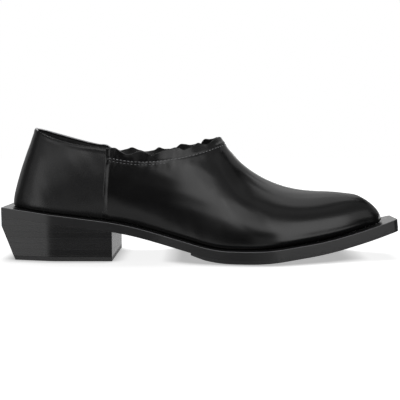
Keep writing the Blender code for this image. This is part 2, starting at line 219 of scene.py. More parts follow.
# %% Lights
LIGHTS = [
    # name, bearing and height, size across and up, all in degrees, then radiance
    ("instep_box",       -14.0,  19.0,  20.0, 21.0, 1.90),
    ("instep_front",      10.0,  23.0,  28.0, 15.0, 1.50),
    ("toe_box",           40.0,  21.0,  30.0, 26.0, 1.95),
    ("toe_end",           63.0,  25.0,  14.0, 18.0, 0.60),
    ("toe_low",           36.0,  -1.0,  22.0, 18.0, 1.80),
    ("toe_side",          54.0,  -5.0,  14.0, 12.0, 1.30),
    ("heel_card",        -45.0,   0.0,  21.0, 40.0, 1.35),
    ("heel_side",        -68.0,  -2.0,  26.0, 56.0, 0.40),
    ("heel_gap",         -30.0,  14.0,  10.0, 30.0, 0.40),
    ("heel_low",         -53.0, -24.0,  20.0,  8.0, 2.20),
    ("low_front",         -8.0, -28.0,  56.0, 18.0, 0.50),
    ("low_middle",        12.0,  -8.0,  24.0, 22.0, 0.30),
    ("front_top",         36.0,  49.0, 122.0, 30.0, 0.22),
    ("front_fill",        80.0,  57.5,  56.0, 13.0, 0.18),
    ("rim_card",         -40.0,  62.0,  50.0, 20.0, 4.00),
    ("back_low_right",   126.0,   1.0,  46.0, 14.0, 2.00),
    ("back_low",         170.0,   1.0,  42.0, 14.0, 2.80),
    ("back_mid",         176.0,  14.0,  60.0, 12.0, 0.90),
    ("back_floor",       172.0, -12.0,  60.0, 12.0, 0.70),
    ("back_wall",        150.0,  31.0,  80.0, 26.0, 0.35),
    ("top_rim",          161.0,  36.0,  24.0, 15.0, 0.60),
    ("top_back",         160.0,  52.5,  44.0, 19.0, 1.00),
    ("top_sheet",        139.0,  68.0,  42.0, 20.0, 1.00),
    ("heel_wall",       -145.0,  12.0,  60.0, 40.0, 0.35),
]
TABLE_SHEET = "table_sheet", 180.0, 66.0, 40.0, 24.0, 4.4
LIGHT_DISTANCE = 1.9
LIGHT_TARGET = np.array([0.0, 0.0, 0.05])


def place_light(name, bearing, height, wide, tall, radiance):
    """A rectangle of light facing the shoe; bearing 0 is towards the camera, 90 beyond the toe."""
    turn, rise = math.radians(bearing), math.radians(height)
    away = np.array([math.sin(turn) * math.cos(rise), -math.cos(turn) * math.cos(rise), math.sin(rise)])
    data = bpy.data.lights.new(name, "AREA")
    data.shape = "RECTANGLE"
    data.size = 2 * LIGHT_DISTANCE * math.tan(math.radians(wide / 2))
    data.size_y = 2 * LIGHT_DISTANCE * math.tan(math.radians(tall / 2))
    data.energy = radiance * math.pi * data.size * data.size_y
    light = new_object(name, data)
    light.location = LIGHT_TARGET + LIGHT_DISTANCE * away
    light.rotation_euler = (math.radians(90) - rise, 0.0, turn)
    return light


def floor_link(name, state):
    """A collection that tells a light to leave the floor out, or to light nothing else."""
    lit = bpy.data.collections.new(name)
    lit.objects.link(floor)
    lit.collection_objects[0].light_linking.link_state = state
    return lit


all_but_floor = floor_link("all_but_floor", "EXCLUDE")
for light_row in LIGHTS:
    place_light(*light_row).light_linking.receiver_collection = all_but_floor
place_light(*TABLE_SHEET).light_linking.receiver_collection = floor_link("only_floor", "INCLUDE")
print("lights:", ", ".join(row[0] for row in [*LIGHTS, TABLE_SHEET]))

# %% [markdown]
# ## The sizes of the last
# The upper is drawn over a last, the wooden form of a foot. Its shape is kept as a table of sections: where
# each starts on the sole, how it bellies out, and where it crowns. The rows follow those of the solids, a
# few of them moved by a millimetre or so, in per cent of the driving sizes. The first number of a row, n,
# says how finely the wall is divided up to the next row. The sole has its own two tables: its outline from
# above and its profile from the side.

# %% Tables of the last and the sole
LENGTH = 292.0          # back edge of the sole to its toe tip, in millimetres, as all sizes below
BALL_WIDTH = 91.6       # sole across the ball of the foot
INSTEP_HEIGHT = 89.5    # floor to the front of the collar
OUTSOLE = 6.5           # thickness of the leather sole
HALF_SOLE = 2.5         # thickness of the rubber under the forefoot
HEEL_LIFT = 3.0         # thickness of the rubber under the heel
GAP = 0.3               # clearance between pieces that rest on each other
FOOT_CLEARANCE = 0.1    # between the upper's wall and the sole's top
HEEL_LIP = 24.6         # floor to the foot of the upright lip at the back of the heel
HEEL_UNDERCUT = 10.0    # how far the heel's back slopes in between the lip and the floor
BREAST = 28.0           # front face of the heel, in per cent along
HALF_SOLE_BACK = 47.5   # back edge of the rubber half sole, in per cent along
PARED_EDGE = 1.7        # thickness of the half sole at its back edge
PARED_LENGTH = 10.0     # distance over which the half sole reaches its full thickness
SOLE_DEPTH = OUTSOLE + GAP + HALF_SOLE
TOE_CUT = 0.4           # lean of the toe's end face: 0 is upright, 1 is square to the climbing sole

OUTLINE = np.array([
    # along lateral medial ease
    (0.0, 48.5, 48.5, 0.0),
    (12.8, 66.0, 66.0, 1.3),
    (29.5, 66.0, 66.0, 4.0),
    (37.0, 65.0, 56.0, 3.5),
    (60.0, 100.0, 100.0, 5.0),
    (68.0, 100.0, 100.0, 3.0),
    (99.2, 28.3, 28.3, 0.3),
    (100.0, 24.0, 24.0, 0.0),
])

PROFILE = np.array([
    # along height ease
    (0.0, 38.2, 0.0),
    (29.8, 27.2, 5.0),
    (53.3, 9.3, 4.0),
    (64.9, 9.3, 4.0),
    (80.7, 14.1, 5.0),
    (91.8, 21.4, 4.0),
    (100.0, 28.6, 0.0),
])

RIBS = {
    # name            n   foot: along lat  med  facing belly rise crown: along lat  med height spread drop
    "heel_back":     (3,  1.1,  0.0,  0.0, 180.0, 0.0, 13.8,  7.4,  0.0,  0.0, 109.0,  6.5, 18.0),
    "heel_turn":     (3,  3.6, 32.0, 32.0, 140.0, 1.6, 14.5,  9.0, 26.5, 26.5, 107.5,  6.4, 18.0),
    "counter":       (4,  9.4, 47.5, 47.5, 105.0, 3.6, 17.0, 13.8, 43.3, 43.3, 102.5,  4.8, 18.0),
    "quarter":       (3, 17.6, 50.0, 49.5,  92.0, 4.5, 18.0, 20.4, 51.5, 51.0,  98.0,  2.6, 19.0),
    "seam":          (9, 25.9, 49.0, 47.0,  90.0, 5.0, 19.0, 27.0, 53.4, 52.9,  99.0,  2.6, 20.0),
    "waist":         (9, 34.1, 49.0, 43.0,  90.0, 5.5, 20.0, 34.3, 49.1, 48.1, 107.0,  4.2, 22.0),
    "shank":         (8, 42.4, 56.0, 48.5,  90.0, 6.0, 23.0, 41.7, 33.0, 33.0, 119.0,  9.0, 19.0),
    "instep":        (6, 49.3, 67.0, 60.0,  90.0, 5.5, 26.0, 47.9,  9.0, 11.0, 125.0, 15.0,  8.0),
    "throat_side":   (7, 52.8, 73.0, 67.5,  90.0, 5.0, 29.0, 52.2, -0.5,  0.5, 110.3, 17.5,  1.0),
    "throat":        (4, 55.2, 77.0, 72.5,  90.0, 4.5, 31.0, 55.1, -1.5,  1.5,  99.1, 18.5,  0.0),
    "instep_front":  (4, 59.0, 81.5, 78.0,  90.0, 4.5, 27.0, 58.8, -2.0,  2.0,  83.4, 20.0,  0.0),
    "ball":          (4, 64.5, 84.0, 82.0,  90.0, 4.5, 21.0, 64.5, -2.5,  2.5,  68.3, 22.0,  0.0),
    "vamp":          (4, 71.4, 78.0, 78.0,  90.0, 4.2, 16.0, 71.0, -2.0,  2.0,  58.8, 21.0,  0.0),
    "toe_box":       (4, 79.7, 60.5, 62.0,  86.0, 3.6, 13.0, 78.3, -1.0,  1.0,  54.5, 17.0,  0.0),
    "toe_side":      (3, 87.2, 42.8, 43.5,  75.0, 2.7, 11.0, 84.5,  0.0,  0.0,  53.5, 12.3,  0.2),
    "toe_turn":      (3, 92.8, 26.8, 27.4,  58.0, 1.6,  9.5, 88.4,  0.0,  0.0,  52.1,  9.0,  0.7),
    "toe_corner":    (2, 95.7, 15.8, 16.5,  30.0, 0.8,  8.5, 90.0,  0.0,  0.0,  51.1,  7.8,  1.8),
    "toe_tip":       (0, 96.8,  0.0,  0.0,   0.0, 0.6,  8.0, 90.4,  0.0,  0.0,  50.6,  7.6,  2.6),
}
ROW = {name: index for index, name in enumerate(RIBS)}

COLLAR = np.array([
    # along lateral medial
    (6.8, 107.7, 107.7),
    (13.0, 99.2, 101.5),
    (20.0, 93.3, 95.0),
    (27.0, 90.2, 90.6),
    (34.0, 86.8, 88.2),
    (41.5, 88.2, 89.4),
    (48.0, 92.0, 92.8),
    (52.0, 95.8, 96.2),
    (55.1, 99.1, 99.1),
])

print(len(RIBS), "sections of the last,", len(COLLAR), "points of the collar")

# %% [markdown]
# ## Curves through a table
# A few rows are enough for a smooth shape when a spline runs through them. The sole's tables use straight
# runs with eased corners, as a maker draws them. The last uses a cubic spline without jumps in curvature,
# because polished leather shows every jump as a kink in its reflections.


# %% Splines and the sole's surface
def eased(x, table, column):
    """Straight runs through a table's column, each inner corner eased over its last column's length."""
    places, values = along(table[:, 0]), table[:, column]
    slopes = np.diff(values) / np.diff(places)
    result = values[0] + slopes[0] * (x - places[0])
    for place, ease, turn in zip(places[1:-1], table[1:-1, -1] / 100 * SOLE_LENGTH, np.diff(slopes)):
        past = x - place
        soft = (past + ease) ** 2 / (4 * ease)
        result = result + turn * np.where(past < -ease, 0, np.where(past > ease, past, soft))
    return result


def toe_lean(depth):
    """How far forward a point this deep below the sole's top stands at the toe tip."""
    (back, low, _), (front, high, _) = PROFILE[-2:]
    return TOE_CUT * depth * math.sin(math.atan((high - low) / (front - back) * 100 / LENGTH))


SOLE_LENGTH = LENGTH - toe_lean(SOLE_DEPTH)


def along(per_cent):
    """Millimetres in X of a position along the sole's top."""
    return np.asarray(per_cent, float) / 100 * SOLE_LENGTH - LENGTH / 2


def across(per_cent):
    """Millimetres outwards from the centre line."""
    return np.asarray(per_cent, float) / 100 * BALL_WIDTH / 2


def sole_top(x):
    """Height of the sole's top face."""
    return eased(np.asarray(x, float), PROFILE, 1)


def spline(knots, values, at, ring=False):
    """Cubic through values at knots, smooth to its second derivative; a ring ends on its first value."""
    step = np.diff(knots)
    count = len(knots)
    matrix = np.zeros((count, count))
    right = np.zeros(values.shape)
    rate = np.diff(values, axis=0) / step[:, None]
    for i in range(1, count - 1):
        matrix[i, i - 1: i + 2] = step[i - 1], 2 * (step[i - 1] + step[i]), step[i]
        right[i] = 6 * (rate[i] - rate[i - 1])
    if ring:
        matrix[0, [0, 1, -2]] = 2 * (step[-1] + step[0]), step[0], step[-1]
        right[0] = 6 * (rate[0] - rate[-1])
        matrix[-1, [0, -1]] = 1, -1
    else:
        matrix[0, 0] = matrix[-1, -1] = 1
    bend = np.linalg.solve(matrix, right)
    i = np.clip(np.searchsorted(knots, at, "right") - 1, 0, count - 2)
    h, a, b = step[i][:, None], (knots[i + 1] - at)[:, None], (at - knots[i])[:, None]
    curve = (bend[i] * a**3 + bend[i + 1] * b**3) / (6 * h)
    line = (values[i] / h - bend[i] * h / 6) * a + (values[i + 1] / h - bend[i + 1] * h / 6) * b
    return curve + line


def run_of(points):
    """Distance of each point from the first of its row, measured along the row."""
    steps = np.linalg.norm(np.diff(points, axis=-2), axis=-1)
    return np.concatenate([np.zeros((*steps.shape[:-1], 1)), np.cumsum(steps, axis=-1)], axis=-1)


def through(rows, spacing_columns, places, ring=False):
    """The rows' values at fractional places, on a spline spaced by the chords of some columns."""
    if ring:
        rows = np.vstack([rows, rows[:1]])
    knots = run_of(rows[:, spacing_columns])
    index = np.arange(len(rows), dtype=float)
    pace = knots[-1] / index[-1]
    at = pace * places + spline(index, (knots - pace * index)[:, None], places, ring)[:, 0]
    return spline(knots, rows, at, ring)


for name, place in (("heel", 0), ("ball", 60), ("toe", 100)):
    print(f"sole top at the {name} {sole_top(along(place)):.1f} mm")

# %% [markdown]
# ## Sections of the wall
# Each section of the upper is one Bezier curve with four corners: the foot on the sole, a lead that bellies
# out, a lead under the crown, and the crown. Around the foot the sections form a ring, so that the spline
# has no end. In front of the throat both sides crown on one ridge. Behind it the wall is drawn taller than
# the shoe, and the collar cuts it.

# %% Wall sections
BORROWED = 3            # rows of the other side that carry the crown's spline round the heel
CUT_STEPS = 400
LOWEST_CUT = 0.4        # the collar is looked for above this share of a section


def unit(vectors):
    """The same directions with length one."""
    return vectors / np.maximum(np.linalg.norm(vectors, axis=-1, keepdims=True), 1e-9)


def rib_rows(side):
    """Rows of the outer (0) or inner (1) side: foot x and y, facing x and y, four leads; crown x, y and z."""
    sign = (-1, 1)[side]
    feet, crowns = [], []
    for rib in RIBS.values():
        facing = math.radians(rib[4])
        lead = math.cos(facing), sign * math.sin(facing), rib[5], rib[6], rib[11], rib[12]
        feet.append([along(rib[1]), sign * across(rib[2 + side]), *lead])
        crowns.append([along(rib[7]), sign * across(rib[8 + side]), rib[10] / 100 * INSTEP_HEIGHT])
    return np.array(feet), np.array(crowns)


def walls(places):
    """Bezier corners of both sides' sections: foot, low lead, top lead and crown."""
    sides = [rib_rows(0), rib_rows(1)]
    ring = np.vstack([sides[0][0], sides[1][0][-2:0:-1]])
    found = []
    for (_, own), (_, other), ring_places in zip(sides, sides[::-1], (places, 2 * ROW["toe_tip"] - places)):
        values = through(ring, [0, 1], ring_places, ring=True)
        crown = through(np.vstack([other[BORROWED:0:-1], own]), [0, 1, 2], places + BORROWED)
        found.append([values, crown])
    on_ridge = places >= ROW["throat"]
    found[0][1][on_ridge] = found[1][1][on_ridge] = (found[0][1][on_ridge] + found[1][1][on_ridge]) / 2
    up = np.array([0.0, 0.0, 1.0])
    for values, crown in found:
        out = np.column_stack([unit(values[:, 2:4]), np.zeros(len(places))])
        belly, rise, spread, drop = (values[:, [column]] for column in range(4, 8))
        foot = np.column_stack([values[:, :2], sole_top(values[:, 0]) + FOOT_CLEARANCE])
        yield foot, foot + out * belly + up * rise, crown + out * spread - up * drop, crown


def bezier(corners, t):
    foot, low, top, crown = corners
    t = t[..., None]
    return (1 - t) ** 3 * foot + 3 * (1 - t) ** 2 * t * low + 3 * (1 - t) * t**2 * top + t**3 * crown


def collar_cut(corners, places, column):
    """How far up each section the collar cuts it. Sections in front of the throat run on to the ridge."""
    levels = COLLAR[:, [column]] / 100 * INSTEP_HEIGHT
    cut = np.ones(len(places))
    steps = np.linspace(0, 1, CUT_STEPS)
    for rib in np.where(places < ROW["throat"])[0]:
        curve = bezier([corner[rib] for corner in corners], steps)
        above = curve[:, 2] - spline(along(COLLAR[:, 0]), levels, curve[:, 0])[:, 0]
        over = np.argmax((above >= 0) & (steps > LOWEST_CUT))
        cut[rib] = np.interp(0, above[over - 1: over + 1], steps[over - 1: over + 1])
    return cut


ball_foot = next(walls(np.array([float(ROW["ball"])])))[0][0]
print("the section at the ball starts at", ball_foot.round(1).tolist(), "mm")

# %% [markdown]
# ## Points on the wall
# Rows of points are laid by their distance from the collar, close together over the top twelve millimetres
# where the frill and its stitches are, and wider below. The columns follow the table, several to each row
# of it.

# %% Fine sections
TOP_BAND = 12.0         # millimetres below the collar with close rows
TOP_ROWS = 22
LOW_ROWS = 40
RUN_STEPS = 300
VAMP_DENSITY = 4
QUARTER_DENSITY = 8
THROAT_CROWDING = 1.3   # draws the sections closer together towards the throat
LAP_BACK = 0.06         # how far the vamp laps back over the seam, in rows of the table


def places_between(first, last, density):
    """Fractional rows of the table from one named section to another."""
    names = list(RIBS)
    places = [float(ROW[last])]
    for row in range(ROW[first], ROW[last]):
        count = RIBS[names[row]][0] * density
        power = THROAT_CROWDING if names[row] == "throat_side" else 1.0
        places.extend(row + 1 - (1 - np.arange(count) / count) ** power)
    return np.sort(places)


def wall_points(places):
    """Points of both sides, sections by rows from foot to top, and each point's distance below the top."""
    steps = np.linspace(0, 1, RUN_STEPS)
    grids, depths = [], []
    for corners, column in zip(walls(places), (1, 2)):
        cut = collar_cut(corners, places, column)
        curve = bezier([corner[:, None, :] for corner in corners], cut[:, None] * steps)
        grid, depth = [], []
        for line, run in zip(curve, run_of(curve)):
            low = np.linspace(run[-1], TOP_BAND, LOW_ROWS + 1)[:-1]
            below = np.concatenate([low, np.linspace(TOP_BAND, 0, TOP_ROWS + 1)])
            grid.append(np.column_stack([np.interp(run[-1] - below, run, axis) for axis in line.T]))
            depth.append(below)
        grids.append(np.array(grid))
        depths.append(np.array(depth))
    return grids, depths


lap_places = ROW["seam"] - np.linspace(LAP_BACK, 0, 4)[:-1]
vamp_places = np.concatenate([lap_places, places_between("seam", "toe_tip", VAMP_DENSITY)])
vamp_sides, _ = wall_points(vamp_places)
print(len(vamp_places), "sections a side,", vamp_sides[0].shape[1], "rows")

# %% [markdown]
# ## The gathered collar
# On the real shoe a narrow elastic is sewn in about six millimetres below the cut edge of the vamp, and it
# gathers the edge into a frill. Cloth simulation would give folds at random places. Here the folds are
# placed one by one, where the picture shows them: a table for each side lists crests and troughs on the way
# from seam to throat.

# %% Tables of the folds
# Each point is a share of the way, then millimetres out and up
LATERAL_FOLDS = np.array([
    (0.000, 0.2, 0.3), (0.042, 0.2, 1.2), (0.079, 0.3, 1.5), (0.115, 0.6, -0.6), (0.161, 0.7, -1.7),
    (0.200, 0.6, -0.8), (0.278, 0.4, 1.5), (0.318, 0.6, -0.4), (0.352, 0.5, -1.5), (0.402, 0.1, 0.2),
    (0.441, 0.0, 0.9), (0.515, -0.1, 1.9), (0.563, 0.1, 0.5), (0.585, 0.3, -1.1), (0.612, 0.3, -0.6),
    (0.668, 0.0, 0.9), (0.695, -0.1, 1.8), (0.724, 0.1, 0.4), (0.800, 0.0, -1.2), (0.850, -0.5, 0.3),
    (0.900, -0.5, 1.3), (0.950, 0.1, 0.9), (1.000, 0.5, -0.9),
])
MEDIAL_FOLDS = np.array([
    (0.000, 0.0, -1.6), (0.050, 0.6, -2.8), (0.076, 0.4, -1.6), (0.127, -0.4, 0.5), (0.148, -0.8, 1.4),
    (0.169, -0.4, 0.9), (0.203, 0.4, -0.3), (0.255, 1.2, -1.8), (0.288, 1.0, -1.5), (0.322, 0.2, -0.7),
    (0.356, -0.6, 0.7), (0.377, -0.8, 1.7), (0.399, -0.3, 0.6), (0.440, 0.6, -0.2), (0.515, 0.4, -0.5),
    (0.557, -0.8, 2.4), (0.595, -0.4, 1.5), (0.660, 0.6, 0.1), (0.700, 0.6, -0.2), (0.735, 0.4, -0.6),
    (0.750, -0.3, 1.2), (0.782, -0.8, 2.1), (0.843, 0.3, 0.8), (0.884, 0.0, 1.3), (0.935, -0.4, 0.4),
    (1.000, -0.7, -0.2),
])
print(len(LATERAL_FOLDS), "points of the outer folds,", len(MEDIAL_FOLDS), "of the inner folds")

# %% [markdown]
# ## Rolling the edge
# A spline through each table shifts the edge out and up, and a few small ripples keep it from looking
# machined. The wall below follows the nearest bit of the edge, less and less over the height of the frill.

# %% Frill
FRILL = 6.0             # height of the gathered edge
FOLD_FALL = 1.5         # how fast the folds die away below the edge
FOLD_BLEND = 1.2        # distance over which neighbouring folds run into each other
RIPPLES = [
    # waves along one side, millimetres out, millimetres up, phase
    (13, 0.05, 0.12, 0.4),
    (21, 0.04, 0.12, 2.1),
    (34, 0.02, 0.08, 4.4),
]
RIPPLE_LEAD = 1.7       # angle by which the upward wave runs ahead of the outward one


def one_sheet(sides):
    """Both sides as one run, from the outer seam forwards and back to the inner seam."""
    return np.concatenate([sides[0], sides[1][-2::-1]])


def folded(edge, folds):
    """Outward and upward shift of the gathered edge, rolling smoothly from fold to fold."""
    share = run_of(edge) / run_of(edge)[-1]
    shift = spline(folds[:, 0], folds[:, 1:], share)
    calm = np.sqrt(np.maximum(np.sin(math.pi * share), 0))
    for waves, out, lift, phase in RIPPLES:
        wave = math.tau * waves * share + phase
        ripple = np.column_stack([out * np.sin(wave), lift * np.sin(wave + RIPPLE_LEAD)])
        shift = shift + ripple * calm[:, None]
    return shift


def gather(points, edge, upwards, shift):
    """Rolls the wall near the collar out and up into the folds of the frill; upwards lies in the wall."""
    tangent = np.gradient(edge[:, :2], axis=0)
    outwards = unit(np.column_stack([tangent[:, 1], -tangent[:, 0], np.zeros(len(edge))]))
    push = outwards * shift[:, [0]] + upwards * shift[:, [1]]
    depth = np.linalg.norm(points[..., None, :] - edge, axis=-1)
    nearest = depth.min(axis=-1)
    weight = np.exp((nearest[..., None] ** 2 - depth**2) / FOLD_BLEND**2)
    weight = weight / weight.sum(axis=-1, keepdims=True)
    reach = np.clip(1 - nearest / FRILL, 0, 1) ** FOLD_FALL
    return points + (weight @ push) * reach[..., None]


plain_vamp = one_sheet(vamp_sides)
collar_sides = [side[vamp_places <= ROW["throat"]] for side in vamp_sides]
collar_edges = [side[:, -1] for side in collar_sides]
collar_edge = one_sheet(collar_edges)
collar_rise = unit(one_sheet([side[:, -1] - side[:, LOW_ROWS + TOP_ROWS // 2] for side in collar_sides]))
collar_shift = one_sheet([folded(*pair) for pair in zip(collar_edges, (LATERAL_FOLDS, MEDIAL_FOLDS))])
near_collar = vamp_places <= ROW["ball"]
for side in vamp_sides:
    top = side[near_collar, LOW_ROWS:]
    side[near_collar, LOW_ROWS:] = gather(top, collar_edge, collar_rise, collar_shift)
vamp = one_sheet(vamp_sides)
print(f"collar from seam to seam {run_of(collar_edge)[-1]:.0f} mm long")

# %% [markdown]
# ## Distances on the vamp
# Everything sewn or folded into the vamp lies at a distance from one of its edges: the collar, the side
# seam or the sole. So three distances are measured for every point, on the sheet as it was before it was
# gathered.


# %% Three distances
def normals(sheet):
    """Outward direction of every point of a sheet."""
    return unit(np.cross(np.gradient(sheet, axis=0), np.gradient(sheet, axis=1)))


def distance_to(edge, points):
    """Distance of points from the nearest point of an edge, section by section."""
    return np.array([np.linalg.norm(line[:, None, :] - edge, axis=2).min(axis=1) for line in points])


from_collar = distance_to(collar_edge, plain_vamp)
from_sole = run_of(plain_vamp)
seam_run = run_of(plain_vamp[:, LOW_ROWS // 2])[:, None]
from_seam = np.minimum(seam_run, seam_run[-1] - seam_run) + np.zeros_like(from_collar)
print(f"vamp sheet {vamp.shape[0]} by {vamp.shape[1]} points, {seam_run[-1, 0]:.0f} mm from seam to seam")

# %% [markdown]
# ## Folds, gathers and turned edges
# Leather is never as smooth as its pattern. The gathers of the elastic run out below the stitches. The
# turned edge at the side seam rolls down on to the quarter, and the top of that seam is crumpled. A soft
# shoulder runs along the side, the edge of the throat rolls out over a hollow, and the foot of the wall
# turns in over the sole, most of all at the toe. Each is a small push along the surface's outward
# direction, in millimetres. Their sizes come first, with the two soft shapes that they are made from: a
# bump and a step.

# %% Sizes of the relief
STITCH_DEPTH = 6.4      # first row of stitches below the collar's edge
SECOND_ROW = 8.3        # second row, which holds the lower edge of the elastic
GATHERS = [
    # wave length, push, phase
    (5.3, 0.02, 0.9),
    (8.1, 0.03, 2.6),
    (12.7, 0.05, 4.0),
]
GATHERS_END = 5.0       # how far below the stitches the gathers run out
COLLAR_BANDS = [
    # push, distance below the collar, half width, distance from the seam where it starts and is full
    (-0.07, STITCH_DEPTH, 0.8, -1.0, 0.0),
    (-0.03, SECOND_ROW, 0.8, 45.1, 30.1),
    (0.45, 5.0, 1.3, 78.0, 90.0),
]
HOLLOW = 0.5, (10.0, 4.0), (95.0, 11.0)     # depth, then middle and half width from the collar and the seam
CRUMPLE = 0.10, 4.2, 0.6        # push, wave length, phase
CRUMPLE_SWAY = 0.9, 0.55        # how far the crumples swing aside, and how fast on their way down
SEAM_ROLL = 3.6         # width of the turned edge at the side seam
SEAM_DROP = 0.5, 0.27   # how far it rolls down on to the quarter: straight part, rounded part
SEAM_DROP_TOP = 0.45    # share of that drop at the collar
TUCK = 1.0, 2.4         # how far the foot of the wall turns in, and over which height
TOE_TUCK = 0.9, 1.2     # shares by which both grow at the toe
UNEVEN = 0.011          # slope of the leather's waves
UNEVEN_TOE = 0.15       # share of them at the polished toe
WAVE_LENGTHS = np.geomspace(9.0, 30.0, 9)
SHOULDER = np.array([
    # along in millimetres from the middle, up the wall from the sole, outwards
    (8.0, 50.0, 0.60), (17.0, 45.0, 0.70), (27.0, 37.0, 0.75), (38.0, 33.0, 0.90),
    (49.0, 29.0, 0.55), (71.0, 23.5, 0.35), (93.0, 20.0, 0.50), (110.0, 16.0, 0.50),
])
SHOULDER_WIDTH = 8.0
FADES = {
    # where a step is 0 and where it is 1, in millimetres from the seam, from the collar or along the shoe
    "gathers by the seam": (4.0, 10.0),
    "crumple by the seam": (14.0, 6.0),
    "crumple by the collar": (14.0, 8.0),
    "seam drop by the collar": (5.0, 14.0),
    "toe's back": (35.0, 85.0),
    "toe's front": (134.0, 121.0),
    "uneven back": (45.0, 5.0),
    "shoulder's back": (10.0, 28.0),
    "shoulder's front": (108.0, 70.0),
    "skiving by the seam": (5.0, 9.0),
    "thinnest by the seam": (3.0, 0.0),
}


def bump(distance, centre, width):
    return np.exp(-(((distance - centre) / width) ** 2))


def ramp(value, start, end):
    """Smooth step from 0 at start to 1 at end."""
    part = np.clip((value - start) / (end - start), 0, 1)
    return part * part * (3 - 2 * part)


def fade(value, name):
    return ramp(value, *FADES[name])


print(len(COLLAR_BANDS), "bands along the collar,", len(FADES), "soft steps")

# %% [markdown]
# ## Pushing the leather out
# The pushes are added up point by point. The slow waves of lasted leather are sines in seeded directions,
# fainter towards the toe, where the leather is pulled tight and polished.


# %% Relief of the vamp
def undulation(points, seed, slope):
    """Shallow waves in all directions, as leather has after lasting; slope is the steepness of each."""
    chance = np.random.default_rng(seed)
    total = np.zeros(points.shape[:-1])
    for length in WAVE_LENGTHS:
        way = unit(chance.normal(size=3))
        wave = points @ way * math.tau / length + chance.uniform(0, math.tau)
        total += slope * length / math.tau * np.sin(wave)
    return total


place_x = plain_vamp[..., 0]
gathers = sum(push * np.sin(math.tau * seam_run / length + phase) for length, push, phase in GATHERS)
gathers = gathers * np.where(from_collar > STITCH_DEPTH, bump(from_collar, STITCH_DEPTH, GATHERS_END), 1.0)
gathers = gathers * fade(from_seam, "gathers by the seam")
bands = sum(
    push * bump(from_collar, middle, width) * ramp(from_seam, start, full)
    for push, middle, width, start, full in COLLAR_BANDS
)
hollow = HOLLOW[0] * bump(from_collar, *HOLLOW[1]) * bump(from_seam, *HOLLOW[2])
crumple_push, crumple_wave, crumple_phase = CRUMPLE
sway = CRUMPLE_SWAY[0] * np.sin(CRUMPLE_SWAY[1] * from_collar) + crumple_phase
crumple = crumple_push * np.sin(math.tau * from_seam / crumple_wave + sway)
crumple = crumple * fade(from_seam, "crumple by the seam") * fade(from_collar, "crumple by the collar")
flat = np.clip(from_seam / SEAM_ROLL, 0, 1)
seam_drop = SEAM_DROP[0] * (1 - flat) + SEAM_DROP[1] * (1 - flat**2)
seam_drop = seam_drop * (SEAM_DROP_TOP + (1 - SEAM_DROP_TOP) * fade(from_collar, "seam drop by the collar"))
at_toe = fade(place_x, "toe's back") * fade(place_x, "toe's front")
tuck_height = TUCK[1] * (1 + TOE_TUCK[1] * at_toe)
tuck = TUCK[0] * (1 + TOE_TUCK[0] * at_toe) * np.clip(1 - from_sole / tuck_height, 0, 1) ** 2
uneven = undulation(plain_vamp, 3, UNEVEN) * (UNEVEN_TOE + (1 - UNEVEN_TOE) * fade(place_x, "uneven back"))
shoulder_line, shoulder_push = (np.interp(place_x, SHOULDER[:, 0], column) for column in SHOULDER[:, 1:].T)
shoulder = shoulder_push * bump(from_sole - shoulder_line, 0.0, SHOULDER_WIDTH)
shoulder = shoulder * fade(place_x, "shoulder's back") * fade(place_x, "shoulder's front")
relief = uneven + shoulder + gathers + bands + crumple - hollow - seam_drop - tuck
vamp_out = normals(vamp)
vamp = vamp + vamp_out * relief[..., None]
print(f"relief from {relief.min():.2f} to {relief.max():.2f} mm")

# %% [markdown]
# ## Leather
# Polished calf is almost black, and its gloss is a thin clear layer over fine pores. Voronoi cells give the
# pores, a wider noise gives the cloudy polish, and both move the roughness and the bump by a little. The
# back is a softer, duller skin of the same dye, and the lining is duller still. One function makes them
# all, because only the numbers differ.

# %% Leather materials
LEATHERS = {
    # name              dark    light   rough  shine  cells   depth    strength
    "polished_calf":  (0.0012, 0.0022, 0.20, 0.50, 1500.0, 0.00002, 0.20),
    "soft_nappa":     (0.0050, 0.0075, 0.29, 0.42, 1300.0, 0.00006, 0.45),
    "lining_leather": (0.0040, 0.0070, 0.55, 0.50, 1000.0, 0.00006, 0.50),
    "cut_leather":    (0.0200, 0.0380, 0.60, 0.50, 2200.0, 0.00010, 0.70),
    # pale grey: a painted highlight on the quarter's rounded rim
    "quarter_rim_highlight": (0.2000, 0.2800, 0.32, 0.50, 1300.0, 0.00006, 0.45),
    "sock_leather":   (0.0180, 0.0260, 0.55, 0.50, 1100.0, 0.00006, 0.50),
}
OBJECT = 3              # the Texture Coordinate node's Object output


def between(factor, dark, light):
    """A shade of cool grey between two, in the tree of the factor."""
    shades = {6: (dark, dark, dark * 1.04, 1.0), 7: (light, light, light * 1.04, 1.0)}
    return factor.node("ShaderNodeMix", {"data_type": "RGBA"}, {0: factor, **shades}, output=2)


def noise(place, scale, detail):
    return place.node("ShaderNodeTexNoise", None, {"Vector": place, "Scale": scale, "Detail": detail})


def pressed(height, strength, depth):
    """The surface's direction after a pattern of heights is pressed into it."""
    return height.node("ShaderNodeBump", None, {"Strength": strength, "Distance": depth, "Height": height})


def leather(name, dark, light, rough, shine, cells, depth, strength):
    material, shader, tree = new_material(name)
    place = tree.node("ShaderNodeTexCoord", output=OBJECT)
    cloud = noise(place, 45.0, 4.0)
    cell = {"Vector": place, "Scale": cells}
    pores = tree.node("ShaderNodeTexVoronoi", {"feature": "DISTANCE_TO_EDGE"}, cell)
    height = pores * 0.7 + noise(place, cells / 3, 5.0) * 0.6
    polish = cloud * 0.10 + pores * -0.12 + (rough - 0.03)
    fill(shader, base_color=between(cloud, dark, light), roughness=polish)
    fill(shader, normal=pressed(height, strength, depth))
    shader.inputs["Specular IOR Level"].default_value = shine
    return material


leathers = {name: leather(name, *row) for name, row in LEATHERS.items()}
print("leathers:", ", ".join(leathers))

